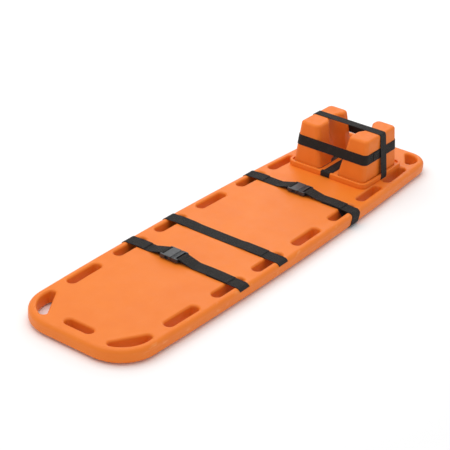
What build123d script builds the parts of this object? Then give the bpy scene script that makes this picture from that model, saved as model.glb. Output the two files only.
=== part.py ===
from build123d import *
from math import acos, asin, atan2, cos, degrees, hypot, radians, sin, tan
import os

# Spine board with head immobiliser and three body straps, in millimetres.
# Origin: middle of the board's underside. +X runs to the head end, +Z is up.

# Board plan
board_length = 1820.0
board_half_width = 240.0
widest_x = -150.0
side_arc_radius = 16500.0
foot_corner_radius = 134.0
head_corner_radius = 78.0

# Board section
rail_underside_z = 4.0
rail_depth = 48.0
outer_round = 15.0
slot_round = 8.0
shell_wall = 3.5
core_clearance = 0.3
belly_side_margin = 78.0
belly_end_margin = 116.0
belly_corner = 80.0

# Hand slots along the sides
side_rail_width = 25.0
slot_width = 32.0
slot_length = 150.0
slot_centres_x = [-610.0, -380.0, -165.0, 64.0, 296.0, 490.0, 684.0]

# Hand slots at the two ends
end_rail_width = 40.0
end_slot_width = 32.0
end_slot_length = 106.0
corner_rail_width = 26.0
foot_hole_chord = 65.0
head_hole_chord = 8.0
corner_hole_turn = 60.0
corner_hole_round = 12.0

# Webbing
body_webbing_thickness = 2.0
head_webbing_thickness = 1.4
webbing_gap = 0.3
body_webbing_width = 50.0
head_webbing_width = 38.0
strap_1_x = -346.5
strap_2_x = -131.5
strap_3_x = 329.5
far_overlap_inset = 92.0
strap_1_near_end_inset = 55.0
strap_2_near_end_inset = 75.0
strap_3_near_end_inset = 58.0
near_tail_inset = 136.0
rail_tail_turn = 55.0
rail_tail_end = 3.0
landing_length = 52.0
sewn_start = 12.0
sewn_length = 20.0
flap_hinge_inset = 90.0
flap_slope_length = 22.0

# Side release buckles
strap_1_buckle_inset = 206.0
strap_3_buckle_y = -6.0
buckle_lift = 4.0
buckle_width = 64.0
buckle_height = 14.0
buckle_corner = 5.0
buckle_edge = 2.0
female_length = 44.0
male_length = 28.0
bar_opening_width = 52.0
bar_thickness = 6.0
bar_height = 7.0
bar_round = 2.0
bar_slot = 6.0
cavity_depth = 30.0
cavity_height = 8.0
prong_clearance = 0.4
prong_length = 27.0
prong_width = 9.0
prong_round = 3.0
guide_length = 20.0
guide_width = 12.0
window_start = 9.0
window_length = 15.0
rib_count = 3
rib_pitch = 4.0
rib_groove = 1.6
rib_depth = 1.0

# Head immobiliser base
base_front_x = 490.0
base_length = 280.0
base_half_width = 165.0
base_floor = 14.0
base_rim_height = 20.0
base_rim_width = 9.0
base_corner = 28.0
base_edge = 3.0
groove_side_gap = 0.4
grip_length = 46.0
grip_width = 110.0
grip_depth = 2.0
grip_inset_x = 54.0
grip_y = 92.0
grip_corner = 8.0

# Head blocks
block_front_margin = 17.0
block_back_margin = 27.0
block_foot_inner_y = 36.0
block_outer_margin = 13.0
block_front_taper = 14.0
block_back_taper = 17.0
block_inner_taper = 27.0
block_outer_taper = 9.0
block_height = 154.0
block_side_round = 18.0
block_top_round = 9.0
scoop_depth = 17.0
scoop_front_margin = 67.0
scoop_back_margin = 34.0
pad_margin = 14.0
pad_thickness = 1.5

# Straps on the immobiliser
wide_strap_rise = 65.0
wide_tab_inset = 76.0
wide_tab_length = 34.0
wide_tab_margin = 3.0
top_strap_shift = -2.0
fold_radius = 1.6
rim_slope = 14.0
centre_bend_radius = 4.0

# Heights and widths that follow from the sizes above
board_top_z = rail_underside_z + rail_depth
half_length = board_length / 2
ply_centre = webbing_gap + body_webbing_thickness / 2
ply_pitch = body_webbing_thickness + webbing_gap
first_ply_z = board_top_z + ply_centre
second_ply_z = first_ply_z + ply_pitch
third_ply_z = second_ply_z + ply_pitch
head_ply_centre = webbing_gap + head_webbing_thickness / 2
head_ply_pitch = head_webbing_thickness + webbing_gap
head_first_ply_z = board_top_z + head_ply_centre
head_second_ply_z = head_first_ply_z + head_ply_pitch
far_overlap_y = board_half_width - far_overlap_inset
flap_hinge_y = board_half_width - flap_hinge_inset
near_tail_start_y = near_tail_inset - board_half_width
strap_1_near_end_y = strap_1_near_end_inset - board_half_width
strap_2_near_end_y = strap_2_near_end_inset - board_half_width
strap_3_near_end_y = strap_3_near_end_inset - board_half_width
strap_1_buckle_y = board_half_width - strap_1_buckle_inset
buckle_z = board_top_z + buckle_lift
bar_z = buckle_z + buckle_height / 2
base_end_x = base_front_x + base_length
base_centre_x = base_front_x + base_length / 2
base_floor_z = board_top_z + base_floor
base_rim_z = board_top_z + base_rim_height
block_foot_z = base_floor_z + 2 * pad_thickness
block_top_z = block_foot_z + block_height
block_foot_front_x = base_front_x + block_front_margin
block_foot_back_x = base_end_x - block_back_margin
block_foot_outer_y = base_half_width - block_outer_margin
block_top_front_x = block_foot_front_x + block_front_taper
block_top_back_x = block_foot_back_x - block_back_taper
block_top_inner_y = block_foot_inner_y + block_inner_taper
block_top_outer_y = block_foot_outer_y - block_outer_taper
block_slant = degrees(atan2(block_inner_taper, block_height))
scoop_front_x = block_top_front_x + scoop_front_margin
scoop_back_x = block_top_back_x - scoop_back_margin
scoop_x = (scoop_front_x + scoop_back_x) / 2
scoop_half_chord = (scoop_back_x - scoop_front_x) / 2
scoop_radius = (scoop_half_chord**2 + scoop_depth**2) / (2 * scoop_depth)
wide_tab_x = block_foot_front_x + wide_tab_inset
top_strap_x = base_centre_x + top_strap_shift


def side_y(x):
    """Half width of the board at a place along it."""
    return board_half_width - (x - widest_x) ** 2 / (2 * side_arc_radius)


def edge_span(x):
    """Smallest and largest half width of the board under a body strap."""
    widths = [side_y(x + side * body_webbing_width / 2) for side in (1, -1)]
    return min(widths), max(widths)


def side_angle(x):
    """Turn of the side edge at a place along the board, in degrees."""
    return -degrees(asin((x - widest_x) / side_arc_radius))


def outline_arc(end_margin, side_margin, side):
    """One long side of the board's plan, drawn in from the edge by the margins."""
    end = half_length - end_margin
    return ThreePointArc(
        (-end, side * (side_y(-end) - side_margin)),
        (widest_x, side * (board_half_width - side_margin)),
        (end, side * (side_y(end) - side_margin)),
    )


def plan_face(end_margin, side_margin, foot_corner, head_corner):
    """The board's plan inside the margins, with round corners."""
    with BuildSketch(mode=Mode.PRIVATE) as plan:
        with BuildLine():
            far = outline_arc(end_margin, side_margin, 1)
            near = outline_arc(end_margin, side_margin, -1)
            Line(far @ 0, near @ 0)
            Line(far @ 1, near @ 1)
        make_face()
        fillet(plan.vertices().group_by(Axis.X)[0], foot_corner)
        fillet(plan.vertices().group_by(Axis.X)[-1], head_corner)
    return plan.sketch


def corner_hole(board_corner, chord, growth, end, side):
    """Hand hole inside a corner: an arc round the corner, closed by a straight chord."""
    arc = board_corner - corner_rail_width
    with BuildSketch(mode=Mode.PRIVATE) as hole:
        Circle(arc + growth)
        with Locations((chord - growth + 2 * arc, 0)):
            Rectangle(4 * arc, 4 * arc, mode=Mode.INTERSECT)
        fillet(hole.vertices(), corner_hole_round)
    centre_x = end * (half_length - board_corner)
    centre_y = side * (side_y(centre_x) - board_corner)
    turn = side * (90 - end * (90 - corner_hole_turn))
    return Location((centre_x, centre_y), turn) * hole.sketch


def hand_slots(growth):
    """Every hand slot of the board, each grown outwards by the same amount."""
    end_x = half_length - end_rail_width - end_slot_width / 2
    with BuildSketch(mode=Mode.PRIVATE) as slots:
        for x in slot_centres_x:
            for side in (1, -1):
                y = side * (side_y(x) - side_rail_width - slot_width / 2)
                with Locations(Location((x, y), side * side_angle(x))):
                    SlotOverall(slot_length + 2 * growth, slot_width + 2 * growth)
        with Locations(Location((end_x, 0), 90), Location((-end_x, 0), 90)):
            SlotOverall(end_slot_length + 2 * growth, end_slot_width + 2 * growth)
        for side in (1, -1):
            add(corner_hole(foot_corner_radius, foot_hole_chord, growth, -1, side))
            add(corner_hole(head_corner_radius, head_hole_chord, growth, 1, side))
    return slots.sketch


def board_form(inset):
    """The board's whole form, drawn back from its surface by an inset."""
    low = rail_underside_z + inset
    high = board_top_z - inset
    with BuildPart() as form:
        with BuildSketch(Plane.XY.offset(low)):
            add(plan_face(0, 0, foot_corner_radius, head_corner_radius))
            offset(amount=-inset)
        extrude(amount=high - low)
        fillet(form.faces().filter_by(Axis.Z).edges(), outer_round - inset)
        with BuildSketch(Plane.XY):
            add(hand_slots(inset))
        extrude(amount=board_top_z, mode=Mode.SUBTRACT)
        flats = form.faces().filter_by(Axis.Z)
        rims = [wire for flat in flats for wire in flat.inner_wires()]
        fillet([edge for rim in rims for edge in rim.edges()], slot_round - inset)
        with BuildSketch(Plane.XY.offset(inset)):
            add(plan_face(belly_end_margin, belly_side_margin, belly_corner, belly_corner))
            offset(amount=-inset)
        extrude(amount=rail_underside_z + outer_round)
    return form.part


def make_board():
    """Moulded shell of even wall and the foam core that fills it."""
    with BuildPart() as shell:
        add(board_form(0))
        add(board_form(shell_wall), mode=Mode.SUBTRACT)
    with BuildPart() as core:
        add(board_form(shell_wall + core_clearance))
    return {"board_shell": shell.part, "foam_core": core.part}


def ribbon(points, radii, plane):
    """Body webbing along a line of points with rounded corners, seen edge on in the plane."""
    with BuildPart() as band:
        with BuildSketch(plane):
            with BuildLine():
                path = FilletPolyline(*points, radius=radii)
            trace(path, body_webbing_thickness)
        extrude(amount=body_webbing_width / 2, both=True)
    return band.part


def closed_ribbon(points, radii, plane):
    """Head webbing closed into a ring along a line of points, seen edge on in the plane."""
    with BuildPart() as band:
        with BuildSketch(plane):
            with BuildLine(mode=Mode.PRIVATE) as path:
                FilletPolyline(*points, radius=radii, close=True)
            middle = make_face(path.edges(), mode=Mode.PRIVATE)
            offset(middle, amount=head_webbing_thickness / 2)
            offset(middle, amount=-head_webbing_thickness / 2, mode=Mode.SUBTRACT)
        extrude(amount=head_webbing_width / 2, both=True)
    return band.part


def rail_loop(x, start, overlap_y, top_ply_z):
    """Path and corner radii from a start on the board, round the rail and back on top."""
    narrow, wide = edge_span(x)
    bend = slot_round + ply_centre
    rim = (wide - side_rail_width - slot_width - slot_round, board_top_z - slot_round)
    foot = (narrow - side_rail_width + slot_round, rail_underside_z + slot_round)
    reach = hypot(foot[0] - rim[0], foot[1] - rim[1])
    normal = atan2(foot[1] - rim[1], foot[0] - rim[0]) + acos(2 * bend / reach)
    offset_from_origin = rim[0] * cos(normal) + rim[1] * sin(normal) + bend
    low_z = rail_underside_z - ply_centre
    enter_y = (offset_from_origin - first_ply_z * sin(normal)) / cos(normal)
    leave_y = (offset_from_origin - low_z * sin(normal)) / cos(normal)
    points = [
        start,
        (enter_y, first_ply_z),
        (leave_y, low_z),
        (wide + ply_centre, low_z),
        (wide + ply_centre, first_ply_z),
        (wide - side_rail_width, first_ply_z),
        (wide - side_rail_width - slot_width, top_ply_z),
        (overlap_y, top_ply_z),
    ]
    wrap = outer_round + ply_centre
    return points, [bend, bend, wrap, wrap, bend, bend]


def buckle_end_path(outer_y, inner_y, away, landing):
    """Path of webbing sewn round a buckle bar, from its hidden end to its landing."""
    upper_z = bar_z + bar_height / 2 + ply_centre
    lower_z = bar_z - bar_height / 2 - ply_centre
    leave_y = outer_y + away * bar_round
    slope = (landing[1] - upper_z) / (landing[0] - leave_y)
    sewn_y = leave_y + away * sewn_start
    end_y = sewn_y + away * sewn_length
    points = [
        (end_y, upper_z + slope * (end_y - leave_y) - ply_pitch),
        (sewn_y, upper_z + slope * (sewn_y - leave_y) - ply_pitch),
        (leave_y, lower_z),
        (inner_y - away * ply_centre, lower_z),
        (inner_y - away * ply_centre, upper_z),
        (leave_y, upper_z),
        landing,
    ]
    wrap = bar_round + ply_centre
    return points, [wrap, wrap, wrap, wrap, wrap]


def mirrored(points):
    """The same path on the near side of the board."""
    return [(-y, z) for y, z in points]


def buckle_blank(x, start_y, end_y):
    """Outer block of one buckle half with the loop opening at its outer end."""
    length = abs(end_y - start_y)
    away = 1 if end_y > start_y else -1
    opening = bar_slot + bar_thickness
    with BuildPart() as blank:
        with BuildSketch(Plane.XY.offset(buckle_z)):
            with Locations((x, (start_y + end_y) / 2)):
                RectangleRounded(buckle_width, length, buckle_corner)
        extrude(amount=buckle_height)
        fillet(blank.faces().filter_by(Axis.Z).edges(), buckle_edge)
        with BuildSketch(Plane.XY.offset(buckle_z)):
            with Locations((x, end_y - away * opening / 2)):
                Rectangle(bar_opening_width, opening)
        extrude(amount=buckle_height, mode=Mode.SUBTRACT)
        with BuildSketch(Plane.YZ.offset(x)):
            with Locations((end_y - away * bar_thickness / 2, bar_z)):
                RectangleRounded(bar_thickness, bar_height, bar_round)
        extrude(amount=(buckle_width - buckle_edge) / 2, both=True)
    return blank.part


def make_female(x, joint_y):
    """Female buckle half: a socket open towards the male half, with side windows."""
    middle = (x, joint_y + cavity_depth / 2, bar_z)
    window = (x, joint_y + window_start + window_length / 2, bar_z)
    with BuildPart() as female:
        add(buckle_blank(x, joint_y, joint_y + female_length))
        with Locations(middle):
            Box(bar_opening_width, cavity_depth, cavity_height, mode=Mode.SUBTRACT)
        with Locations(window):
            Box(buckle_width, window_length, cavity_height, mode=Mode.SUBTRACT)
    return female.part


def make_male(x, joint_y):
    """Male buckle half: ribbed body with two side prongs and a middle guide."""
    arm_x = bar_opening_width / 2 - prong_clearance - prong_width / 2
    arm_height = cavity_height - 2 * prong_clearance
    outer_y = joint_y - male_length
    with BuildPart() as male:
        add(buckle_blank(x, joint_y, outer_y))
        with BuildSketch(Plane.XY.offset(bar_z - arm_height / 2)):
            for side in (1, -1):
                with Locations((x + side * arm_x, joint_y)):
                    SlotOverall(2 * prong_length, prong_width, rotation=90)
            with Locations((x, joint_y)):
                RectangleRounded(guide_width, 2 * guide_length, prong_round)
            with Locations((x, joint_y - prong_length)):
                Rectangle(buckle_width, 2 * prong_length, mode=Mode.SUBTRACT)
        extrude(amount=arm_height)
        with BuildSketch(Plane.YZ.offset(x)):
            with Locations((joint_y - rib_count * rib_pitch / 2, buckle_z + buckle_height)):
                with GridLocations(rib_pitch, 1, rib_count, 1):
                    Rectangle(rib_groove, 2 * rib_depth)
        extrude(amount=buckle_width / 2, both=True, mode=Mode.SUBTRACT)
    return male.part


def far_webbing(x, buckle_y):
    """Webbing from the female bar to the far rail, round it and sewn back on itself."""
    outer_y = buckle_y + female_length
    landing = (outer_y + landing_length, first_ply_z)
    end, end_radii = buckle_end_path(outer_y, outer_y - bar_thickness, 1, landing)
    loop, loop_radii = rail_loop(x, landing, far_overlap_y, second_ply_z)
    radii = end_radii + [slot_round + ply_centre] + loop_radii
    return ribbon(end + loop[1:], radii, Plane.YZ.offset(x))


def near_webbing(x, buckle_y, end_y, ply_z):
    """Webbing from the male bar towards the near rail, lying on the tail below it."""
    outer_y = buckle_y - male_length
    landing = (outer_y - landing_length, ply_z)
    points, radii = buckle_end_path(outer_y, outer_y + bar_thickness, -1, landing)
    radii = radii + [slot_round + ply_centre]
    return ribbon(points + [(end_y, ply_z)], radii, Plane.YZ.offset(x))


def near_tail(x):
    """Webbing tail across the near slot that ends over the rail's outer edge."""
    wrap = outer_round + ply_centre
    turn = radians(rail_tail_turn)
    centre_y = edge_span(x)[1] - outer_round
    corner_y = centre_y + wrap * tan(turn / 2)
    end_y = centre_y + wrap * sin(turn) + rail_tail_end * cos(turn)
    end_z = board_top_z - outer_round + wrap * cos(turn) - rail_tail_end * sin(turn)
    points = [(-near_tail_start_y, first_ply_z), (corner_y, first_ply_z), (end_y, end_z)]
    return ribbon(mirrored(points), wrap, Plane.YZ.offset(x))


def near_loop(x):
    """Webbing loop round the near rail, with both its ends on the board."""
    start = (-near_tail_start_y, first_ply_z)
    points, radii = rail_loop(x, start, -near_tail_start_y, second_ply_z)
    return ribbon(mirrored(points), radii, Plane.YZ.offset(x))


def make_middle_strap():
    """Strap with a loop on the far rail, a long flap and a tail on the near rail."""
    x = strap_2_x
    plane = Plane.YZ.offset(x)
    start = (flap_hinge_y, first_ply_z)
    points, radii = rail_loop(x, start, flap_hinge_y, second_ply_z)
    rise_y = near_tail_start_y + flap_slope_length
    flap = [
        (flap_hinge_y - webbing_gap, second_ply_z),
        (flap_hinge_y - webbing_gap - flap_slope_length / 2, second_ply_z),
        (flap_hinge_y - webbing_gap - 2 * flap_slope_length, first_ply_z),
        (rise_y + flap_slope_length, first_ply_z),
        (rise_y, second_ply_z),
        (strap_2_near_end_y, second_ply_z),
    ]
    bend = slot_round + ply_centre
    return {
        "strap_2_rail_loop": ribbon(points, radii, plane),
        "strap_2_flap": ribbon(flap, bend, plane),
        "strap_2_near_tail": near_tail(x),
    }


def grip_centres():
    """Centres of the four grip pads under the base."""
    xs = (base_front_x + grip_inset_x, base_end_x - grip_inset_x)
    return [(x, side * grip_y) for x in xs for side in (1, -1)]


def make_base():
    """Base plate with a raised rim, strap grooves and grip pad recesses."""
    with BuildPart() as base:
        with BuildSketch(Plane.XY.offset(board_top_z)):
            with Locations((base_centre_x, 0)):
                RectangleRounded(base_length, 2 * base_half_width, base_corner)
        extrude(amount=base_rim_height)
        fillet(base.faces().filter_by(Axis.Z).edges(), base_edge)
        with BuildSketch(Plane.XY.offset(base_floor_z)):
            with Locations((base_centre_x, 0)):
                RectangleRounded(
                    base_length - 2 * base_rim_width,
                    2 * base_half_width - 2 * base_rim_width,
                    base_corner - base_rim_width,
                )
        extrude(amount=base_rim_height, mode=Mode.SUBTRACT)
        for plane, across, plies in (
            (Plane.XZ, top_strap_x, 1),
            (Plane.YZ.offset(base_centre_x), 0, 2),
        ):
            with BuildSketch(plane):
                with Locations((across, board_top_z)):
                    Rectangle(
                        head_webbing_width + 2 * groove_side_gap,
                        2 * (plies * head_ply_pitch + webbing_gap),
                    )
            extrude(amount=base_half_width, both=True, mode=Mode.SUBTRACT)
        with BuildSketch(Plane.XY.offset(board_top_z)):
            with Locations(*grip_centres()):
                RectangleRounded(grip_length, grip_width, grip_corner)
        extrude(amount=grip_depth, mode=Mode.SUBTRACT)
    return base.part


def make_grip(centre):
    """One grip pad, flush with the underside of the base."""
    with BuildPart() as grip:
        with BuildSketch(Plane.XY.offset(board_top_z)):
            with Locations(centre):
                RectangleRounded(
                    grip_length - 2 * webbing_gap,
                    grip_width - 2 * webbing_gap,
                    grip_corner - webbing_gap,
                )
        extrude(amount=grip_depth)
    return grip.part


def block_pad(side, height, margin):
    """Hook or loop pad under a head block."""
    middle_x = (block_foot_front_x + block_foot_back_x) / 2
    middle_y = side * (block_foot_inner_y + block_foot_outer_y) / 2
    with BuildPart() as pad:
        with BuildSketch(Plane.XY.offset(height)):
            with Locations((middle_x, middle_y)):
                RectangleRounded(
                    block_foot_back_x - block_foot_front_x - 2 * margin,
                    block_foot_outer_y - block_foot_inner_y - 2 * margin,
                    block_side_round,
                )
        extrude(amount=pad_thickness)
    return pad.part


def make_block(side):
    """Tapered head block with a hollow for the side of the head in its inner face."""
    inner_mid = (block_foot_inner_y + block_top_inner_y) / 2
    reach = (scoop_radius - scoop_depth) / cos(radians(block_slant))
    axis_y = side * (inner_mid - reach)
    axis_z = block_foot_z + block_height / 2
    foot = (block_foot_front_x, block_foot_back_x, block_foot_inner_y, block_foot_outer_y)
    top = (block_top_front_x, block_top_back_x, block_top_inner_y, block_top_outer_y)
    with BuildPart() as block:
        for height, section in ((block_foot_z, foot), (block_top_z, top)):
            front, back, inner, outer = section
            with BuildSketch(Plane.XY.offset(height)):
                with Locations(((front + back) / 2, side * (inner + outer) / 2)):
                    Rectangle(back - front, outer - inner)
        loft(ruled=True)
        slanted = block.edges().filter_by(lambda edge: abs(edge.tangent_at(0.5).Z) > 0.5)
        fillet(slanted, block_side_round)
        with Locations(Location((scoop_x, axis_y, axis_z), (-side * block_slant, 0, 0))):
            Cylinder(scoop_radius, 2 * block_height, mode=Mode.SUBTRACT)
        fillet(block.faces().sort_by(Axis.Z)[-1].edges(), block_top_round)
    return block.part


def block_edges(height):
    """Front, back and outer faces of the head blocks at one height."""
    share = (height - block_foot_z) / block_height
    front = block_foot_front_x + share * (block_top_front_x - block_foot_front_x)
    back = block_foot_back_x + share * (block_top_back_x - block_foot_back_x)
    outer = block_foot_outer_y + share * (block_top_outer_y - block_foot_outer_y)
    return front, back, outer


def make_wide_strap():
    """Closed strap round both head blocks, following their taper."""
    low = block_foot_z + wide_strap_rise
    with BuildPart() as strap:
        for grow, mode in ((head_ply_pitch, Mode.ADD), (webbing_gap, Mode.SUBTRACT)):
            for height in (low, low + head_webbing_width):
                front, back, outer = block_edges(height)
                with BuildSketch(Plane.XY.offset(height)):
                    with Locations(((front + back) / 2, 0)):
                        RectangleRounded(
                            back - front + 2 * grow,
                            2 * outer + 2 * grow,
                            block_side_round + grow,
                        )
            loft(ruled=True, mode=mode)
    return strap.part


def make_wide_tab():
    """Sewn end of the wide strap, a second ply on the near block's outer side."""
    low = block_foot_z + wide_strap_rise + wide_tab_margin
    high = low + head_webbing_width - 2 * wide_tab_margin
    stand_off = head_ply_pitch + head_ply_centre
    points = [(-block_edges(height)[2] - stand_off, height) for height in (low, high)]
    with BuildPart() as tab:
        with BuildSketch(Plane.YZ.offset(wide_tab_x)):
            with BuildLine():
                path = Line(*points)
            trace(path, head_webbing_thickness)
        extrude(amount=wide_tab_length / 2, both=True)
    return tab.part


def make_top_strap():
    """Closed strap over the tops of both blocks and round the base."""
    side = base_half_width + head_ply_centre
    top = block_top_z + head_ply_centre
    shoulder = block_top_outer_y + head_ply_centre
    points = [
        (-side, head_first_ply_z),
        (-side, base_rim_z - base_edge),
        (-shoulder, top),
        (shoulder, top),
        (side, base_rim_z - base_edge),
        (side, head_first_ply_z),
    ]
    bend = base_edge + head_ply_centre
    crown = block_top_round + head_ply_centre
    radii = [fold_radius, bend, crown, crown, bend, fold_radius]
    return closed_ribbon(points, radii, Plane.YZ.offset(top_strap_x))


def make_centre_strap():
    """Closed strap lengthwise between the blocks, over both rims and under the base."""
    front = base_front_x - head_ply_centre
    back = base_end_x + head_ply_centre
    floor = base_floor_z + head_ply_centre
    over = base_rim_z + head_ply_centre
    rim = base_rim_width + head_ply_centre
    points = [
        (front, head_second_ply_z),
        (front, over),
        (base_front_x + rim, over),
        (base_front_x + rim + rim_slope, floor),
        (base_end_x - rim - rim_slope, floor),
        (base_end_x - rim, over),
        (back, over),
        (back, head_second_ply_z),
    ]
    rim_bend = base_edge + head_ply_centre
    bend = centre_bend_radius
    radii = [fold_radius, rim_bend, bend, bend, bend, bend, rim_bend, fold_radius]
    return closed_ribbon(points, radii, Plane.XZ)


pieces = make_board()
pieces["strap_1_far_webbing"] = far_webbing(strap_1_x, strap_1_buckle_y)
pieces["strap_1_female_buckle"] = make_female(strap_1_x, strap_1_buckle_y)
pieces["strap_1_male_buckle"] = make_male(strap_1_x, strap_1_buckle_y)
pieces["strap_1_near_webbing"] = near_webbing(
    strap_1_x, strap_1_buckle_y, strap_1_near_end_y, second_ply_z
)
pieces["strap_1_near_tail"] = near_tail(strap_1_x)
pieces.update(make_middle_strap())
pieces["strap_3_far_webbing"] = far_webbing(strap_3_x, strap_3_buckle_y)
pieces["strap_3_female_buckle"] = make_female(strap_3_x, strap_3_buckle_y)
pieces["strap_3_male_buckle"] = make_male(strap_3_x, strap_3_buckle_y)
pieces["strap_3_near_webbing"] = near_webbing(
    strap_3_x, strap_3_buckle_y, strap_3_near_end_y, third_ply_z
)
pieces["strap_3_near_loop"] = near_loop(strap_3_x)
pieces["immobiliser_base"] = make_base()
for number, centre in enumerate(grip_centres(), start=1):
    pieces[f"base_grip_{number}"] = make_grip(centre)
for name, side in (("right", 1), ("left", -1)):
    pieces[f"loop_pad_{name}"] = block_pad(side, base_floor_z, 0)
    pieces[f"hook_pad_{name}"] = block_pad(side, base_floor_z + pad_thickness, pad_margin)
    pieces[f"head_block_{name}"] = make_block(side)
pieces["wide_strap"] = make_wide_strap()
pieces["wide_strap_tab"] = make_wide_tab()
pieces["top_strap"] = make_top_strap()
pieces["centre_strap"] = make_centre_strap()

os.makedirs("parts", exist_ok=True)
for label, piece in pieces.items():
    piece.label = label
    export_step(piece, f"parts/{label}.step")
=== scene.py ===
"""Spine board with three body straps and a head immobiliser, dressed over its CAD frame."""

import logging
import math
from collections.abc import Callable
from dataclasses import dataclass, field
from enum import Enum

import bpy
from bpy.types import Material, NodeOutputs, Object
from mathutils import Matrix, Vector

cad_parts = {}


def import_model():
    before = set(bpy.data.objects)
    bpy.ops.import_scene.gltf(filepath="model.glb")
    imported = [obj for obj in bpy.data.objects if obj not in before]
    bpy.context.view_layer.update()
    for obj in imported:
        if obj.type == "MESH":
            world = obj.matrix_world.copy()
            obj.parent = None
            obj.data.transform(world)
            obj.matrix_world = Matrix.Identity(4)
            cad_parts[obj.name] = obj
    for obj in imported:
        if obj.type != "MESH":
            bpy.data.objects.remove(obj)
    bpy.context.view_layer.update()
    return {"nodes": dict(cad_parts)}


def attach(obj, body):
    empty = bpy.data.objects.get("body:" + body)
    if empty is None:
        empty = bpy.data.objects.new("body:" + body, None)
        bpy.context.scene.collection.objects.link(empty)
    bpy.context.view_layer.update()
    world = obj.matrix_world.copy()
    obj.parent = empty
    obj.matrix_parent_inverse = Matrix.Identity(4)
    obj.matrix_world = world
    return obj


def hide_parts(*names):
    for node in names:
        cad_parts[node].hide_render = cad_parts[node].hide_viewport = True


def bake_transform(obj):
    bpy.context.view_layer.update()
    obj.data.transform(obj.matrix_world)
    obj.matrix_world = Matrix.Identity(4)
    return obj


logging.basicConfig(level=logging.INFO, format="%(message)s")
log = logging.getLogger("spine_board")

Point = tuple[float, float]
Place = tuple[float, float, float]
Colour = tuple[float, float, float, float]
Route = list[Point]
Runs = list[list[Vector]]
Shift = Callable[[Point], float]
Socket = bpy.types.NodeSocket
Inputs = dict[str | int, object]
Spots = list[Place] | list[Vector]
Faces = list[tuple[int, ...]]

WHITE = (1.0, 1.0, 1.0, 1.0)

# The board's side edge is an arc: half its width where it is widest, and the arc's radius.
BOARD_HALF_WIDTH = 0.240
BOARD_WIDEST_X = -0.150
BOARD_ARC = 16.5

# How finely webbing is divided: turn of a step on a bend, and length of a step.
BEND_STEP = math.radians(9)
ROUTE_STEP = 0.004

# Faces that meet at more than this angle keep a sharp edge.
CREASE = math.radians(40)

# Height of the thread's middle over the webbing.
THREAD_LIFT = 0.00008


class Plane(Enum):
    """Plane that a webbing route is drawn in."""

    ACROSS = "y and z"
    ALONG = "x and z"


class Side(Enum):
    """Side of the patient that a piece lies on."""

    RIGHT = 1
    LEFT = -1


# Finishes


@dataclass(frozen=True)
class Grain:
    """Noise in cells per metre, with its low and high mapped to a and b."""

    scale: float
    detail: float
    low: float = 0.3
    high: float = 0.7
    a: float = 0.0
    b: float = 1.0
    stretch: Place = (1.0, 1.0, 1.0)


@dataclass(frozen=True)
class Relief:
    """Bumps from noise in cells per metre: their depth in metres and how strongly they show."""

    scale: float
    detail: float
    depth: float
    strength: float


class NodeTree:
    """Short calls for adding and linking the nodes of one tree."""

    def __init__(self, tree: bpy.types.NodeTree) -> None:
        """Starts from a tree's own nodes."""
        self.tree = tree

    def fill(self, node: bpy.types.Node, inputs: Inputs) -> None:
        """Links or sets the inputs of a node.

        Args:
            node: The node.
            inputs: Socket or plain value of each input, by name or number.
        """
        for key, value in inputs.items():
            if isinstance(value, Socket):
                self.tree.links.new(value, node.inputs[key])
            else:
                node.inputs[key].default_value = value

    def add(self, kind: str, inputs: Inputs | None = None, **properties: object) -> NodeOutputs:
        """Adds a node.

        Args:
            kind: Node type.
            inputs: Socket or plain value of each input, by name or number.
            properties: Values of the node's own properties.

        Returns:
            The node's outputs.
        """
        node = self.tree.nodes.new(kind)
        for key, value in properties.items():
            setattr(node, key, value)
        self.fill(node, inputs or {})
        return node.outputs

    def math(self, operation: str, a: object, b: object = 0.0) -> Socket:
        """Returns the result of a math operation on sockets or numbers."""
        return self.add("ShaderNodeMath", {0: a, 1: b}, operation=operation)[0]

    def ramp(self, factor: Socket, low: float, high: float, a: float = 0.0, b: float = 1.0) -> Socket:
        """Returns a factor mapped so that low gives a and high gives b."""
        limits = {"From Min": low, "From Max": high, "To Min": a, "To Max": b}
        return self.add("ShaderNodeMapRange", {"Value": factor, **limits})["Result"]

    def blend(self, factor: Socket, a: Socket | Colour, b: Socket | Colour) -> Socket:
        """Returns two colours mixed by the share of the second."""
        return self.add("ShaderNodeMix", {0: factor, 6: a, 7: b}, data_type="RGBA")[2]

    def place(self) -> Socket:
        """Returns the object coordinates."""
        return self.add("ShaderNodeTexCoord")["Object"]

    def axes(self, place: Socket) -> list[Socket]:
        """Returns the three numbers of a place."""
        return list(self.add("ShaderNodeSeparateXYZ", {0: place}))

    def noise(self, kind: Grain | Relief, stretch: Place = (1.0, 1.0, 1.0)) -> Socket:
        """Returns the plain noise of a grain or relief on the stretched object coordinates."""
        place = self.add("ShaderNodeMapping", {"Vector": self.place(), "Scale": stretch})[0]
        inputs = {"Vector": place, "Scale": kind.scale, "Detail": kind.detail}
        return self.add("ShaderNodeTexNoise", inputs)["Fac"]

    def spread(self, noise: Socket, grain: Grain) -> Socket:
        """Returns noise mapped as its grain says."""
        return self.ramp(noise, grain.low, grain.high, grain.a, grain.b)

    def grain(self, grain: Grain) -> Socket:
        """Returns a grain's noise, stretched and mapped."""
        return self.spread(self.noise(grain, grain.stretch), grain)

    def bump(self, height: Socket, depth: float, strength: float, under: Socket | None = None) -> Socket:
        """Returns the normal of a bump with a depth in metres, over the normal of a coarser one."""
        inputs = {"Height": height, "Distance": depth, "Strength": strength}
        return self.add("ShaderNodeBump", {**inputs, "Normal": under} if under else inputs)["Normal"]

    def relief(self, relief: Relief, under: Socket | None = None) -> Socket:
        """Returns the normal of a relief over the normal of a coarser one."""
        return self.bump(self.noise(relief), relief.depth, relief.strength, under)


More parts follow.
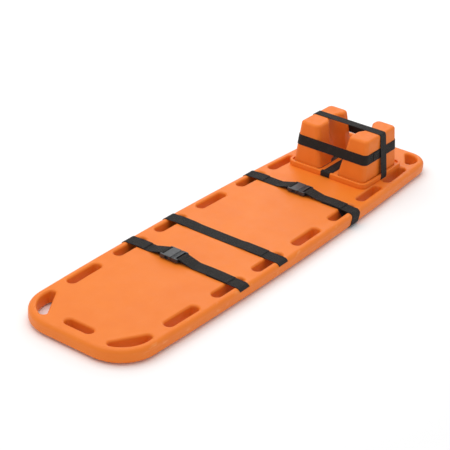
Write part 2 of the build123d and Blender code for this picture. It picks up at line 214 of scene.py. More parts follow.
@dataclass(frozen=True)
class Finish:
    """A procedural finish. Each kind says what feeds its shader."""

    name: str

    def build(self) -> Material:
        """Builds the finish.

        Returns:
            Its material.
        """
        material = bpy.data.materials.new(self.name)
        material.use_nodes = True
        tree = NodeTree(material.node_tree)
        tree.fill(material.node_tree.nodes["Principled BSDF"], self.inputs(tree))
        return material

    def inputs(self, tree: NodeTree) -> Inputs:
        """Returns the shader's inputs."""
        raise NotImplementedError


@dataclass(frozen=True)
class MouldedPlastic(Finish):
    """Orange moulded plastic with a fine pebble, soft blotches, a seam and rubbed places."""

    seam_height: float
    rail_wear: bool = False
    colour: Colour = (0.87, 0.215, 0.020, 1.0)
    deep: Colour = (0.84, 0.195, 0.017, 1.0)
    rubbed: Colour = (0.90, 0.33, 0.11, 1.0)
    blotch: Grain = Grain(9.0, 4.0, 0.32, 0.68)
    scratch: Grain = Grain(55.0, 8.0, 0.60, 0.78, stretch=(0.35, 1.0, 1.0))
    gloss: Grain = Grain(26.0, 5.0, 0.25, 0.75, 0.40, 0.52)
    pebble: Relief = Relief(620.0, 2.0, 0.00022, 0.55)
    wave: Relief = Relief(14.0, 1.0, 0.0022, 0.25)
    wear_reach: float = 0.030
    middle_wear: float = 0.12
    even_wear: float = 0.35
    wear_roughness: float = 0.16
    seam_reach: float = 0.0011
    seam_depth: float = 0.0005
    seam_strength: float = 0.8
    specular: float = 0.28

    def inputs(self, tree: NodeTree) -> Inputs:
        """Returns the shader's inputs."""
        x, y, z = tree.axes(tree.place())
        ground = tree.blend(tree.grain(self.blotch), self.colour, self.deep)
        wear = self.rail_share(tree, x, y) if self.rail_wear else self.even_wear
        scuff = tree.math("MULTIPLY", tree.grain(self.scratch), wear)
        duller = tree.math("MULTIPLY", scuff, self.wear_roughness)
        seam = tree.math("ABSOLUTE", tree.math("SUBTRACT", z, self.seam_height))
        ridge = tree.ramp(seam, 0.0, self.seam_reach, 1.0, 0.0)
        raised = tree.bump(ridge, self.seam_depth, self.seam_strength)
        return {
            "Base Color": tree.blend(scuff, ground, self.rubbed),
            "Roughness": tree.math("ADD", tree.grain(self.gloss), duller),
            "Normal": tree.relief(self.wave, tree.relief(self.pebble, raised)),
            "Specular IOR Level": self.specular,
        }

    def rail_share(self, tree: NodeTree, x: Socket, y: Socket) -> Socket:
        """Finds how worn the board is by its distance from the side edge.

        Args:
            tree: Tree of the finish.
            x: Place along the board.
            y: Place across it.

        Returns:
            1 at the edge, falling off inwards.
        """
        bow = tree.math("POWER", tree.math("SUBTRACT", x, BOARD_WIDEST_X), 2.0)
        edge = tree.math("SUBTRACT", BOARD_HALF_WIDTH, tree.math("DIVIDE", bow, 2 * BOARD_ARC))
        inset = tree.math("SUBTRACT", edge, tree.math("ABSOLUTE", y))
        return tree.ramp(inset, 0.0, self.wear_reach, 1.0, self.middle_wear)


@dataclass(frozen=True)
class Mottled(Finish):
    """Blotches of two close colours, with an uneven gloss and a texture from coarse to fine."""

    colour: Colour
    other: Colour
    blotch: Grain
    gloss: Grain
    reliefs: tuple[Relief, ...]
    specular: float

    def inputs(self, tree: NodeTree) -> Inputs:
        """Returns the shader's inputs."""
        normal = None
        for relief in self.reliefs:
            normal = tree.relief(relief, normal)
        return {
            "Base Color": tree.blend(tree.grain(self.blotch), self.colour, self.other),
            "Roughness": tree.grain(self.gloss),
            "Normal": normal,
            "Specular IOR Level": self.specular,
        }


@dataclass(frozen=True)
class WovenWebbing(Finish):
    """Black woven webbing: lengthwise ribs, slanted picks and a firm edge."""

    width: float
    ribs: int
    dark: Colour = (0.010, 0.0092, 0.0090, 1.0)
    light: Colour = (0.028, 0.023, 0.020, 1.0)
    worn: Colour = (0.050, 0.044, 0.039, 1.0)
    roughness: tuple[float, float] = (0.86, 0.70)
    pick: float = 0.0016
    slant: float = 0.9
    folds: int = 8
    pick_low: float = 0.45
    weave_depth: float = 0.00055
    weave_strength: float = 0.9
    fray: Grain = Grain(60.0, 6.0, 0.56, 0.80, 0.0, 0.55)
    lay: Relief = Relief(35.0, 2.0, 0.0010, 0.35)
    fibre: Relief = Relief(2600.0, 2.0, 0.00012, 0.5)
    specular: float = 0.22
    sheen: float = 0.04
    sheen_roughness: float = 0.45

    def inputs(self, tree: NodeTree) -> Inputs:
        """Returns the shader's inputs, drawn in the strap's own UV in metres."""
        across, along, _ = tree.axes(tree.add("ShaderNodeUVMap", uv_map="weave")["UV"])
        rib = tree.math("SINE", tree.math("MULTIPLY", across, math.pi * self.ribs / self.width))
        fold = tree.math("MULTIPLY", tree.math("PINGPONG", across, self.width / self.folds), self.slant)
        turn = tree.math("MULTIPLY", tree.math("ADD", along, fold), math.tau / self.pick)
        picks = tree.ramp(tree.math("SINE", turn), -1.0, 1.0, self.pick_low)
        weave = tree.math("MULTIPLY", tree.math("ABSOLUTE", rib), picks)
        thread = tree.relief(self.fibre, tree.relief(self.lay))
        woven = tree.blend(weave, self.dark, self.light)
        return {
            "Base Color": tree.blend(tree.grain(self.fray), woven, self.worn),
            "Roughness": tree.ramp(weave, 0.0, 1.0, *self.roughness),
            "Normal": tree.bump(weave, self.weave_depth, self.weave_strength, thread),
            "Specular IOR Level": self.specular,
            "Sheen Weight": self.sheen,
            "Sheen Roughness": self.sheen_roughness,
        }


@dataclass(frozen=True)
class Fibres(Finish):
    """Fine black fibres: the nap of hook and loop cloth, or twisted thread."""

    colour: Colour
    pale: Colour
    tuft: Grain
    depth: float
    strength: float
    sheen: float = 0.0
    specular: float = 0.5

    def inputs(self, tree: NodeTree) -> Inputs:
        """Returns the shader's inputs."""
        tuft = tree.noise(self.tuft, self.tuft.stretch)
        return {
            "Base Color": tree.blend(tuft, self.colour, self.pale),
            "Roughness": tree.spread(tuft, self.tuft),
            "Normal": tree.bump(tuft, self.depth, self.strength),
            "Sheen Weight": self.sheen,
            "Specular IOR Level": self.specular,
        }


@dataclass(frozen=True)
class RibbedRubber(Finish):
    """Black rubber with fine ribs across the board."""

    colour: Colour = (0.018, 0.018, 0.018, 1.0)
    dusty: Colour = (0.05, 0.048, 0.045, 1.0)
    dust: Grain = Grain(45.0, 5.0, 0.4, 0.7)
    roughness: tuple[float, float] = (0.62, 0.85)
    rib_pitch: float = 0.004
    rib_depth: float = 0.0008
    rib_strength: float = 0.9

    def inputs(self, tree: NodeTree) -> Inputs:
        """Returns the shader's inputs."""
        turn = tree.math("MULTIPLY", tree.axes(tree.place())[0], math.tau / self.rib_pitch)
        ribs = tree.ramp(tree.math("SINE", turn), -1.0, 1.0)
        dust = tree.grain(self.dust)
        return {
            "Base Color": tree.blend(dust, self.colour, self.dusty),
            "Roughness": tree.ramp(dust, 0.0, 1.0, *self.roughness),
            "Normal": tree.bump(ribs, self.rib_depth, self.rib_strength),
        }


@dataclass(frozen=True)
class CoreFoam(Finish):
    """Closed cell foam, never seen from outside."""

    colour: Colour = (0.72, 0.66, 0.44, 1.0)
    pale: Colour = (0.85, 0.80, 0.60, 1.0)
    cells: float = 420.0
    cell_depth: float = 0.0006
    cell_strength: float = 0.8
    roughness: float = 0.9

    def inputs(self, tree: NodeTree) -> Inputs:
        """Returns the shader's inputs."""
        cells = tree.add("ShaderNodeTexVoronoi", {"Vector": tree.place(), "Scale": self.cells})
        return {
            "Base Color": tree.blend(cells["Distance"], self.colour, self.pale),
            "Normal": tree.bump(cells["Distance"], self.cell_depth, self.cell_strength),
            "Roughness": self.roughness,
        }


@dataclass(frozen=True)
class StudioFloor(Finish):
    """Plain pale floor that keeps the object's shadow and goes white further off."""

    colour: Colour = (0.97, 0.97, 0.97, 1.0)
    glow_start: float = 1.2
    glow_end: float = 5.0
    glow: float = 0.6

    def inputs(self, tree: NodeTree) -> Inputs:
        """Returns the shader's inputs."""
        x, y, _ = tree.axes(tree.place())
        squares = tree.math("ADD", tree.math("POWER", x, 2.0), tree.math("POWER", y, 2.0))
        far = tree.ramp(tree.math("SQRT", squares), self.glow_start, self.glow_end, 0.0, self.glow)
        seen = tree.add("ShaderNodeLightPath")["Is Camera Ray"]
        return {
            "Base Color": self.colour,
            "Emission Color": WHITE,
            "Emission Strength": tree.math("MULTIPLY", seen, far),
            "Roughness": 1.0,
            "Specular IOR Level": 0.0,
        }


class Finishes:
    """Every finish of the object, built once."""

    def __init__(self) -> None:
        """Builds the materials."""
        self.board = MouldedPlastic("board_plastic", seam_height=0.028, rail_wear=True).build()
        self.base = MouldedPlastic("base_plastic", seam_height=0.0595).build()
        self.foam = Mottled(
            "block_coating",
            colour=(0.86, 0.205, 0.020, 1.0),
            other=(0.82, 0.185, 0.017, 1.0),
            blotch=Grain(18.0, 5.0),
            gloss=Grain(40.0, 4.0, a=0.46, b=0.60),
            reliefs=(Relief(240.0, 3.0, 0.0005, 0.5), Relief(1500.0, 2.0, 0.0001, 0.6)),
            specular=0.26,
        ).build()
        self.core = CoreFoam("core_foam").build()
        self.body_webbing = WovenWebbing("body_webbing", width=0.050, ribs=26).build()
        self.head_webbing = WovenWebbing("head_webbing", width=0.038, ribs=20).build()
        self.buckle = Mottled(
            "buckle_nylon",
            colour=(0.020, 0.022, 0.025, 1.0),
            other=(0.046, 0.050, 0.056, 1.0),
            blotch=Grain(120.0, 4.0, 0.35, 0.70),
            gloss=Grain(300.0, 4.0, a=0.30, b=0.44),
            reliefs=(Relief(2200.0, 2.0, 0.0001, 0.6),),
            specular=0.55,
        ).build()
        self.nap = Fibres(
            "hook_and_loop",
            colour=(0.006, 0.006, 0.006, 1.0),
            pale=(0.05, 0.048, 0.046, 1.0),
            tuft=Grain(1400.0, 6.0, a=0.98, b=0.80),
            depth=0.0009,
            strength=0.9,
            sheen=0.3,
            specular=0.2,
        ).build()
        self.grip = RibbedRubber("grip_rubber").build()
        self.thread = Fibres(
            "sewing_thread",
            colour=(0.030, 0.028, 0.027, 1.0),
            pale=(0.095, 0.088, 0.082, 1.0),
            tuft=Grain(1800.0, 2.0, a=0.50, b=0.66, stretch=(1.0, 0.4, 1.0)),
            depth=0.0002,
            strength=0.7,
        ).build()


# Mesh helpers


def make_piece(name: str, vertices: Spots, faces: Faces, finish: Material) -> Object:
    """Makes a mesh piece with smooth faces and sharp creases.

    Args:
        name: Name of the object and mesh.
        vertices: Vertex positions in metres.
        faces: Vertex indices of each face, wound outwards.
        finish: Material of the piece.

    Returns:
        The new object.
    """
    mesh = bpy.data.meshes.new(name)
    mesh.from_pydata([tuple(v) for v in vertices], [], faces)
    mesh.materials.append(finish)
    mesh.shade_smooth()
    mesh.set_sharp_from_angle(angle=CREASE)
    mesh.update()
    return show(name, mesh)


def show(name: str, data: bpy.types.ID | None) -> Object:
    """Links new data to the scene as an object.

    Args:
        name: Name of the object.
        data: Its mesh, curve, lamp or camera.

    Returns:
        The new object.
    """
    piece = bpy.data.objects.new(name, data)
    bpy.context.scene.collection.objects.link(piece)
    return piece


def repaint(node: Object, finish: Material) -> None:
    """Gives a CAD node its finish.

    Args:
        node: The CAD node's object.
        finish: Material for all its faces.
    """
    if not node.material_slots:
        node.data.materials.append(finish)
    for place in node.material_slots:
        place.material = finish


def ease(value: float) -> float:
    """Returns a smooth step from 0 to 1."""
    value = min(1.0, max(0.0, value))
    return value * value * (3 - 2 * value)


def polar(centre: Point, radius: float, degrees: float) -> Point:
    """Returns the point of a circle at an angle."""
    angle = math.radians(degrees)
    return centre[0] + radius * math.cos(angle), centre[1] + radius * math.sin(angle)


def corner_arc(before: Vector, here: Vector, after: Vector, radius: float) -> list[Vector]:
    """Samples the bend at one corner of a route.

    Args:
        before: The corner before it.
        here: The corner.
        after: The corner after it.
        radius: Bend radius.

    Returns:
        Points from the start of the bend to its end.
    """
    back = (before - here).normalized()
    ahead = (after - here).normalized()
    half = back.angle(ahead) / 2
    start = here + back * radius / math.tan(half)
    end = here + ahead * radius / math.tan(half)
    centre = here + (back + ahead).normalized() * radius / math.sin(half)
    sweep = math.pi - 2 * half
    steps = max(2, math.ceil(sweep / BEND_STEP))
    arc = []
    for step in range(steps + 1):
        angle = sweep * step / steps
        first = math.sin(sweep - angle) / math.sin(sweep)
        second = math.sin(angle) / math.sin(sweep)
        arc.append(centre + (start - centre) * first + (end - centre) * second)
    return arc


def rounded_route(points: Route, radii: list[float], closed: bool = False) -> Route:
    """Samples straight runs of webbing joined by its bends.

    Args:
        points: Corner points in metres.
        radii: Bend radius at each corner: every point if closed, else the inner ones.
        closed: Whether the route joins up with itself.

    Returns:
        Points a few millimetres apart, closer on the bends.
    """
    places = [Vector(p) for p in points]
    count = len(places)
    bends = range(count) if closed else range(1, count - 1)
    arcs = [corner_arc(places[i - 1], places[i], places[(i + 1) % count], r) for i, r in zip(bends, radii)]
    route = [spot for arc in arcs for spot in arc]
    route = [*route, route[0].copy()] if closed else [places[0], *route, places[-1]]
    dense = []
    for here, ahead in zip(route, route[1:]):
        steps = max(1, math.ceil((ahead - here).length / ROUTE_STEP))
        dense += [here.lerp(ahead, step / steps) for step in range(steps)]
    if not closed:
        dense.append(route[-1])
    return [(spot.x, spot.y) for spot in dense]


def rounded_ring(low: Point, high: Point, corner: float, turns: int, counts: tuple[int, ...]) -> Route:
    """Samples a rounded rectangle with the same number of points at any size.

    Args:
        low: Its lowest corner.
        high: Its highest corner.
        corner: Corner radius.
        turns: Steps round each corner.
        counts: Steps along each straight side.

    Returns:
        Points round it, from its lowest corner on.
    """
    (a, b), (c, d) = (low[0] + corner, low[1] + corner), (high[0] - corner, high[1] - corner)
    arcs = []
    for centre, start in (((a, b), 180), ((c, b), 270), ((c, d), 0), ((a, d), 90)):
        arcs.append([polar(centre, corner, start + 90 * step / turns) for step in range(turns + 1)])
    ring: Route = []
    for index, arc in enumerate(arcs):
        ring += arc
        (x, y), (u, v) = arc[-1], arcs[(index + 1) % 4][0]
        for step in range(1, counts[index]):
            share = step / counts[index]
            ring.append((x + (u - x) * share, y + (v - y) * share))
    return ring


@dataclass
class Station:
    """One place on a strap: its middle, the way across it and its outward normal."""

    centre: Vector
    across: Vector
    normal: Vector
    along: float

    def spot(self, reach: float, height: float) -> Vector:
        """Returns a place across from the middle and over it."""
        return self.centre + self.across * reach + self.normal * height


@dataclass
class Ribbon:
    """A length of webbing that follows a list of stations."""

    name: str
    stations: list[Station]
    width: float
    thickness: float
    finish: Material
    closed: bool = False
    face_steps: int = 16
    rim_steps: int = 6
    rim_share: float = 0.8
    selvedge: float = 0.00012
    selvedge_start: float = 0.86
    box_margin: float = 0.0045
    row_margin: float = 0.004
    row_inset: float = 0.010
    row_gap: float = 0.0035
    row_steps: int = 12
    stitch_step: float = 0.003

    @property
    def length(self) -> float:
        """Length along the strap to its last station."""
        return self.stations[-1].along

    def profile(self) -> Route:
        """Draws a cut through the webbing, with soft edges.

        Returns:
            Points round the cut, across and over the middle.
        """
        edge = self.thickness / 2
        rim = edge * self.rim_share
        flat = self.width / 2 - rim
        right = []
        for step in range(self.face_steps + 1):
            place = -1 + 2 * step / self.face_steps
            raised = self.selvedge if abs(place) > self.selvedge_start else 0.0
            right.append((place * flat, edge - self.selvedge + raised))
        for step in range(1, self.rim_steps):
            angle = math.pi / 2 - math.pi * step / self.rim_steps
            right.append((flat + rim * math.cos(angle), edge * math.sin(angle)))
        return right + [(-a, -b) for a, b in right]

    def build(self) -> Object:
        """Builds the strap's closed mesh with its weave map.

        Returns:
            The strap's object.
        """
        outline = self.profile()
        size = len(outline)
        vertices = [station.spot(*point) for station in self.stations for point in outline]
        faces = []
        count = len(self.stations)
        for row in range(count if self.closed else count - 1):
            here, ahead = row * size, ((row + 1) % count) * size
            for column in range(size):
                beside = (column + 1) % size
                faces.append((here + column, ahead + column, ahead + beside, here + beside))
        if not self.closed:
            faces.append(tuple(range(size)))
            faces.append(tuple(reversed(range((count - 1) * size, count * size))))
        piece = make_piece(self.name, vertices, faces, self.finish)
        self.map_weave(piece.data, outline)
        return piece

    def map_weave(self, mesh: bpy.types.Mesh, outline: Route) -> None:
        """Writes the weave's UV map, in metres across and along the strap.

        Args:
            mesh: The strap's mesh.
            outline: Points of the cut through the webbing.
        """
        layer = mesh.uv_layers.new(name="weave")
        size = len(outline)
        for face in mesh.polygons:
            rows = [mesh.loops[loop].vertex_index // size for loop in face.loop_indices]
            wraps = self.closed and max(rows) == len(self.stations) - 1 and min(rows) == 0
            for loop, row in zip(face.loop_indices, rows):
                reach = outline[mesh.loops[loop].vertex_index % size][0] + self.width / 2
                along = self.length + ROUTE_STEP if wraps and row == 0 else self.stations[row].along
                layer.data[loop].uv = (reach, along)

    def spot(self, reach: float, along: float, lift: float) -> Vector:
        """Finds a place on the webbing's outer face.

        Args:
            reach: Distance across from the middle.
            along: Distance along the strap.
            lift: Height over the middle of the ply.

        Returns:
            The place, in metres.
        """
        for here, ahead in zip(self.stations, self.stations[1:]):
            if ahead.along >= along:
                share = (along - here.along) / max(ahead.along - here.along, 1e-9)
                centre = here.centre.lerp(ahead.centre, share)
                across = here.across.lerp(ahead.across, share)
                normal = here.normal.lerp(ahead.normal, share)
                return Station(centre, across, normal, along).spot(reach, lift)
        return self.stations[-1].spot(reach, lift)

    def box_stitch(self, start: float, length: float) -> Runs:
        """Lays out a sewn box with a cross in it.

        Args:
            start: Distance along the strap where the box starts.
            length: Length of the box along the strap.

        Returns:
            Runs of points for the stitches.
        """
        b, u, v = self.width / 2 - self.box_margin, start, start + length
        a = -b
        ends = [(a, u), (b, u), (b, v), (a, v), (a, u)]
        legs = [*zip(ends, ends[1:]), ((a, u), (b, v)), ((b, u), (a, v))]
        return [self.stitch_line(*leg, max(2, int(math.dist(*leg) / self.stitch_step))) for leg in legs]

    def row_stitch(self) -> Runs:
        """Lays out two close rows of stitches across the strap's end.

        Returns:
            Runs of points for the stitches.
        """
        reach, first = self.width / 2 - self.row_margin, self.length - self.row_inset
        rows = (first, first + self.row_gap)
        return [self.stitch_line((-reach, row), (reach, row), self.row_steps) for row in rows]

    def stitch_line(self, start: Point, end: Point, steps: int) -> list[Vector]:
        """Lays one line of stitches on the outer face.

        Args:
            start: Its start, across and along.
            end: Its end, across and along.
            steps: Number of steps.

        Returns:
            Points of the line.
        """
        (a, u), (b, v) = start, end
        lift = self.thickness / 2 + THREAD_LIFT
        shares = [step / steps for step in range(steps + 1)]
        return [self.spot(a + (b - a) * share, u + (v - u) * share, lift) for share in shares]


def still(spot: Point) -> float:
    """Returns no shift."""
    return 0.0


def make_stations(route: Route, plane: Plane, offset: float, flip: bool, **shifts: Shift) -> list[Station]:
    """Turns a route into strap stations.

    Args:
        route: Points of the middle of the ply.
        plane: Plane of the route.
        offset: Where that plane lies on the third axis.
        flip: Whether the outward side is on the right of the way along.
        shifts: Functions of a point: skew shifts a station across, and lift outwards.

    Returns:
        The stations, in order.
    """
    skew, lift = shifts.get("skew", still), shifts.get("lift", still)
    across = plane is Plane.ACROSS
    wide = Vector((1, 0, 0)) if across else Vector((0, 1, 0))
    spots = [Vector((offset, a, b)) if across else Vector((a, offset, b)) for a, b in route]
    stations = []
    along = 0.0
    for index, (point, spot) in enumerate(zip(route, spots)):
        before = spots[max(index - 1, 0)]
        way = (spots[min(index + 1, len(spots) - 1)] - before).normalized()
        normal = wide.cross(way) if flip else way.cross(wide)
        along += (spot - before).length
        side = wide if normal.cross(way).dot(wide) > 0 else -wide
        centre = spot + wide * skew(point) + normal * lift(point)
        stations.append(Station(centre, side, normal, along))
    return stations


class Stitcher:
    """Sews runs of thread with a Geometry Nodes tree of short stitches."""

    sizes = {"Pitch": 0.0036, "Length": 0.0028, "Thread": 0.00038}
    ball = {"Segments": 6, "Rings": 5, "Radius": 1.0}

    def __init__(self, thread: Material) -> None:
        """Builds the stitch tree once: a bead on every point, laid along the thread.

        Args:
            thread: Material of the thread.
        """
        self.group = bpy.data.node_groups.new("stitch_run", "GeometryNodeTree")
        face = self.group.interface
        face.new_socket("Geometry", in_out="INPUT", socket_type="NodeSocketGeometry")
        for name in self.sizes:
            face.new_socket(name, in_out="INPUT", socket_type="NodeSocketFloat")
        face.new_socket("Geometry", in_out="OUTPUT", socket_type="NodeSocketGeometry")
        tree = NodeTree(self.group)
        start = tree.add("NodeGroupInput")
        pitch = {"Curve": start["Geometry"], "Length": start["Pitch"]}
        points = tree.add("GeometryNodeResampleCurve", pitch, mode="LENGTH")["Curve"]
        bead = tree.add("GeometryNodeMeshUVSphere", self.ball)["Mesh"]
        way = {"Vector": tree.add("GeometryNodeInputTangent")["Tangent"]}
        turn = tree.add("FunctionNodeAlignRotationToVector", way, axis="Z")["Rotation"]
        thick = start["Thread"]
        half = tree.math("MULTIPLY", start["Length"], 0.5)
        size = tree.add("ShaderNodeCombineXYZ", {"X": thick, "Y": thick, "Z": half})["Vector"]
        laid = {"Points": points, "Instance": bead, "Rotation": turn, "Scale": size}
        beads = {"Geometry": tree.add("GeometryNodeInstanceOnPoints", laid)["Instances"]}
        real = tree.add("GeometryNodeRealizeInstances", beads)["Geometry"]
        sewn = tree.add("GeometryNodeSetMaterial", {"Geometry": real, "Material": thread})
        tree.add("NodeGroupOutput", {"Geometry": sewn["Geometry"]})

    def sew(self, name: str, runs: Runs) -> Object:
        """Sews stitches along runs of points.

        Args:
            name: Name of the piece.
            runs: Lines of points that the stitches follow.

        Returns:
            One mesh piece with every stitch.
        """
        curve = bpy.data.curves.new(name + "_runs", "CURVE")
        curve.dimensions = "3D"
        for run in runs:
            spline = curve.splines.new("POLY")
            spline.points.add(len(run) - 1)
            for point, spot in zip(spline.points, run):
                point.co = (*spot, 1.0)
        carrier = show(name + "_runs", curve)
        modifier = carrier.modifiers.new("stitches", "NODES")
        modifier.node_group = self.group
        for socket in self.group.interface.items_tree:
            if socket.name in self.sizes:
                modifier[socket.identifier] = self.sizes[socket.name]
        view = bpy.context.evaluated_depsgraph_get()
        mesh = bpy.data.meshes.new_from_object(carrier.evaluated_get(view))
        mesh.name = name
        bpy.data.objects.remove(carrier)
        mesh.shade_smooth()
        return show(name, mesh)


# Board


@dataclass
class Board:
    """The moulded board: its shell and the foam inside it."""

    finishes: Finishes
    nodes: dict[str, Object]
    top: float = 0.052
    underside: float = 0.004
    outer_round: float = 0.015
    slot_round: float = 0.008
    rail: float = 0.025
    slot: float = 0.032

    def half_width_at(self, x: float) -> float:
        """Returns the board's half width at a place along it."""
        return BOARD_HALF_WIDTH - (x - BOARD_WIDEST_X) ** 2 / (2 * BOARD_ARC)

    def dress(self) -> None:
        """Gives the moulded shell and its core their finishes."""
        repaint(self.nodes["board_shell"], self.finishes.board)
        repaint(self.nodes["foam_core"], self.finishes.core)
        log.info("board shell and core")


# Straps


@dataclass
class Webbing:
    """Sizes that every ply of one webbing shares."""

    width: float = 0.050
    thickness: float = 0.002
    gap: float = 0.0003

    @property
    def centre(self) -> float:
        """Height of a ply's middle over what it lies on."""
        return self.gap + self.thickness / 2

    @property
    def pitch(self) -> float:
        """Distance from one ply to the next."""
        return self.gap + self.thickness


@dataclass
class Strapwork:
    """Anything made of webbing: it builds straps and stitches on the CAD bodies."""

    finishes: Finishes
    nodes: dict[str, Object]
    stitcher: Stitcher

    slot_name = "body_webbing"

    def place(self, ribbon: Ribbon, body: str | None, *nodes: str) -> Object:
        """Builds a ribbon in place of its CAD nodes.

        Args:
            ribbon: Strap to build.
            body: Body that it rides on, or None where it bends between two.
            nodes: CAD nodes that it stands for.

        Returns:
            The strap's object.
        """
        piece = ribbon.build()
        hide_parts(*nodes)
        if body:
            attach(piece, body)
        log.info("webbing %s", ribbon.name)
        return piece

    def sew(self, name: str, runs: Runs, body: str) -> None:
        """Adds stitches that ride on a body.

        Args:
            name: Name of the stitches.
            runs: Runs of points.
            body: Body that they ride on.
        """
        piece = self.stitcher.sew(name, runs)
        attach(piece, body)
        log.info("stitches %s", name)


@dataclass
class BodyStrap(Strapwork):
    """One strap across the board, with its routes round the rails and the buckle bars."""

    board: Board
    name: str
    x: float
    webbing: Webbing = field(default_factory=Webbing)
    tail_start: float = 0.104
    tail_turn: float = 55.0
    tail_end: float = 0.003
    overlap: float = 0.148
    bar_round: float = 0.002
    bar_height: float = 0.007
    bar_thickness: float = 0.006
    buckle_lift: float = 0.004
    buckle_height: float = 0.014
    landing: float = 0.052
    sewn_start: float = 0.012
    sewn_length: float = 0.020

    @property
    def bend(self) -> float:
        """Bend radius of a ply's middle round a slot's edge."""
        return self.board.slot_round + self.webbing.centre

    def ply(self, number: int) -> float:
        """Returns the height of a ply, counted from 1 at the board."""
        return self.board.top + self.webbing.centre + (number - 1) * self.webbing.pitch

    def edge_span(self) -> tuple[float, float]:
        """Returns the smallest and largest half width of the board under the strap."""
        widths = [self.board.half_width_at(self.x + side * self.webbing.width / 2) for side in (1, -1)]
        return min(widths), max(widths)

    def rail_loop(self, start: Point, overlap: float) -> tuple[Route, list[float]]:
        """Lays a route through the far slot, round the rail and back on top.

        Args:
            start: First point of the route.
            overlap: Where the strap ends on top of itself.

        Returns:
            Corner points and bend radii.
        """
        board, c, bend, first = self.board, self.webbing.centre, self.bend, self.ply(1)
        narrow, wide = self.edge_span()
        inner = wide - board.rail - board.slot
        rim = Vector((inner - board.slot_round, board.top - board.slot_round))
        foot = Vector((narrow - board.rail + board.slot_round, board.underside + board.slot_round))
        reach = foot - rim
        turn = math.atan2(reach.y, reach.x) + math.acos(2 * bend / reach.length)
        normal = Vector((math.cos(turn), math.sin(turn)))
        line = rim.dot(normal) + bend
        low = board.underside - c
        points = [
            start,
            ((line - first * normal.y) / normal.x, first),
            ((line - low * normal.y) / normal.x, low),
            (wide + c, low),
            (wide + c, first),
            (wide - board.rail, first),
            (inner, self.ply(2)),
            (overlap, self.ply(2)),
        ]
        wrap = board.outer_round + c
        return points, [bend, bend, wrap, wrap, bend, bend]

    def bar_loop(self, outer: float, away: int, landing: Point) -> tuple[Route, list[float]]:
        """Lays a route round a buckle bar, from its hidden end to where it lands.

        Args:
            outer: Outer end of the buckle half.
            away: 1 towards the far rail, -1 towards the near one.
            landing: Point where the strap comes down.

        Returns:
            Corner points and bend radii.
        """
        c, pitch = self.webbing.centre, self.webbing.pitch
        middle = self.board.top + self.buckle_lift + self.buckle_height / 2
        upper = middle + self.bar_height / 2 + c
        lower = middle - self.bar_height / 2 - c
        inside = outer - away * self.bar_thickness - away * c
        leave = outer + away * self.bar_round
        slope = (landing[1] - upper) / (landing[0] - leave)
        sewn = leave + away * self.sewn_start
        end = sewn + away * self.sewn_length
        points = [
            (end, upper + slope * (end - leave) - pitch),
            (sewn, upper + slope * (sewn - leave) - pitch),
            (leave, lower),
            (inside, lower),
            (inside, upper),
            (leave, upper),
            landing,
        ]
        return points, [self.bar_round + c] * 5

    def weave(self, name: str, points: Route, radii: list[float], flip: bool, **shifts: Shift) -> Ribbon:
        """Makes one piece of webbing.

        Args:
            name: Name of the piece, after the strap's.
            points: Corner points of its route.
            radii: Bend radii.
            flip: Whether the outward side is on the right of the way along.
            shifts: Its skew and lift, where it has them.

        Returns:
            The ribbon, not yet built.
        """
        stations = make_stations(rounded_route(points, radii), Plane.ACROSS, self.x, flip, **shifts)
        w = self.webbing
        return Ribbon(f"{self.name}_{name}", stations, w.width, w.thickness, self.finishes.body_webbing)

    def near_tail(self) -> Ribbon:
        """Lays the tail that crosses the near slot and ends over the rail's edge.

        Returns:
            The ribbon of the tail.
        """
        wrap = self.board.outer_round + self.webbing.centre
        turn = math.radians(self.tail_turn)
        y = self.edge_span()[1] - self.board.outer_round
        z = self.board.top - self.board.outer_round
        across = wrap * math.sin(turn) + self.tail_end * math.cos(turn)
        up = wrap * math.cos(turn) - self.tail_end * math.sin(turn)
        corner = (-y - wrap * math.tan(turn / 2), self.ply(1))
        points = [(-self.tail_start, self.ply(1)), corner, (-y - across, z + up)]
        return self.weave("tail_webbing", points, [wrap], False)


